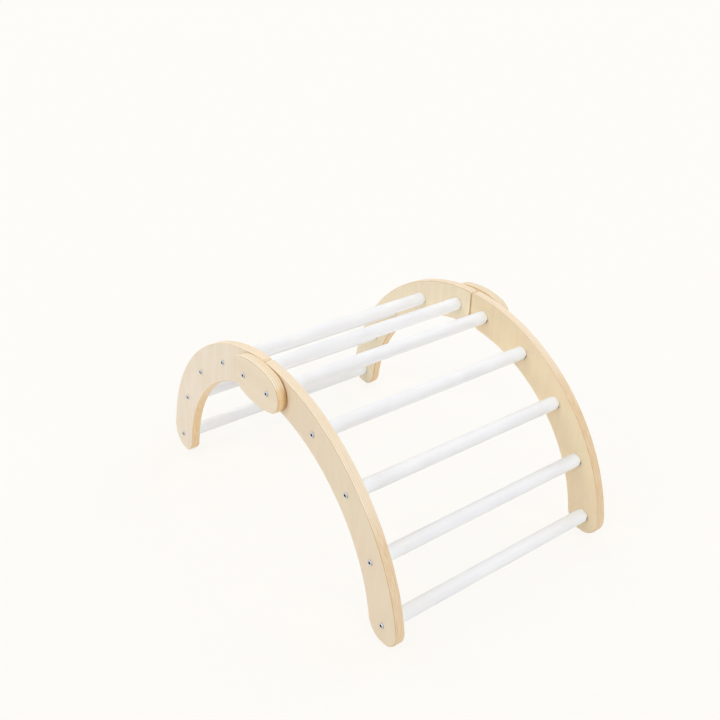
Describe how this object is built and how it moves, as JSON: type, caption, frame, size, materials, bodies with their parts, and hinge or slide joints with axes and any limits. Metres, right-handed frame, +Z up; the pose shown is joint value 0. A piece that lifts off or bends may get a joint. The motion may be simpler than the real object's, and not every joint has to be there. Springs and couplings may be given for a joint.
{
  "type": "climbing arch",
  "caption": "Folding wooden climbing arch: two curved ladder halves with white rungs between plywood panels, pivoted at the crest on oval joint plates.",
  "frame": {"origin": "on the floor, under the middle of the arch", "axes": "+X along the arch from the crest to the front feet, +Y along the rungs to the right side, +Z up"},
  "size_m": [0.9402, 0.6746, 0.4612],
  "materials": {
    "plywood": "clear matt lacquer over pale birch plywood, layered edges",
    "white_lacquer": "smooth satin white paint on a hardwood dowel",
    "bolt_steel": "zinc plated, satin",
    "washer_steel": "zinc plated, satin",
    "insert_brass": "turned, hidden in the rung ends"
  },
  "bodies": {
    "joint_plates": {"joint_plate_left": "plywood", "pivot_washer_front_left": "washer_steel", "pivot_washer_rear_left": "washer_steel", "joint_plate_right": "plywood", "pivot_washer_front_right": "washer_steel", "pivot_washer_rear_right": "washer_steel"},
    "front_half": {"front_left_panel": "plywood", "front_right_panel": "plywood", "rung_front_1": "white_lacquer", "rung_front_2": "white_lacquer", "rung_front_3": "white_lacquer", "rung_front_4": "white_lacquer", "rung_front_5": "white_lacquer", "pivot_bolt_front_left_1": "bolt_steel", "insert_front_left_1": "insert_brass", "rung_bolt_front_left_2": "bolt_steel", "insert_front_left_2": "insert_brass", "rung_bolt_front_left_3": "bolt_steel", "insert_front_left_3": "insert_brass", "rung_bolt_front_left_4": "bolt_steel", "insert_front_left_4": "insert_brass", "rung_bolt_front_left_5": "bolt_steel", "insert_front_left_5": "insert_brass", "pivot_bolt_front_right_1": "bolt_steel", "insert_front_right_1": "insert_brass", "rung_bolt_front_right_2": "bolt_steel", "insert_front_right_2": "insert_brass", "rung_bolt_front_right_3": "bolt_steel", "insert_front_right_3": "insert_brass", "rung_bolt_front_right_4": "bolt_steel", "insert_front_right_4": "insert_brass", "rung_bolt_front_right_5": "bolt_steel", "insert_front_right_5": "insert_brass"},
    "rear_half": {"rear_left_panel": "plywood", "rear_right_panel": "plywood", "rung_rear_1": "white_lacquer", "rung_rear_2": "white_lacquer", "rung_rear_3": "white_lacquer", "rung_rear_4": "white_lacquer", "rung_rear_5": "white_lacquer", "pivot_bolt_rear_left_1": "bolt_steel", "insert_rear_left_1": "insert_brass", "rung_bolt_rear_left_2": "bolt_steel", "insert_rear_left_2": "insert_brass", "rung_bolt_rear_left_3": "bolt_steel", "insert_rear_left_3": "insert_brass", "rung_bolt_rear_left_4": "bolt_steel", "insert_rear_left_4": "insert_brass", "rung_bolt_rear_left_5": "bolt_steel", "insert_rear_left_5": "insert_brass", "pivot_bolt_rear_right_1": "bolt_steel", "insert_rear_right_1": "insert_brass", "rung_bolt_rear_right_2": "bolt_steel", "insert_rear_right_2": "insert_brass", "rung_bolt_rear_right_3": "bolt_steel", "insert_rear_right_3": "insert_brass", "rung_bolt_rear_right_4": "bolt_steel", "insert_rear_right_4": "insert_brass", "rung_bolt_rear_right_5": "bolt_steel", "insert_rear_right_5": "insert_brass"}
  },
  "joints": [
    {"name": "front_fold", "type": "hinge", "parent": "joint_plates", "child": "front_half", "pos_m": [0.0472, 0, 0.40967], "axis": [0, 1, 0], "range_deg": [0, 46]},
    {"name": "rear_fold", "type": "hinge", "parent": "joint_plates", "child": "rear_half", "pos_m": [-0.0472, 0, 0.40967], "axis": [0, -1, 0], "range_deg": [0, 46]}
  ]
}
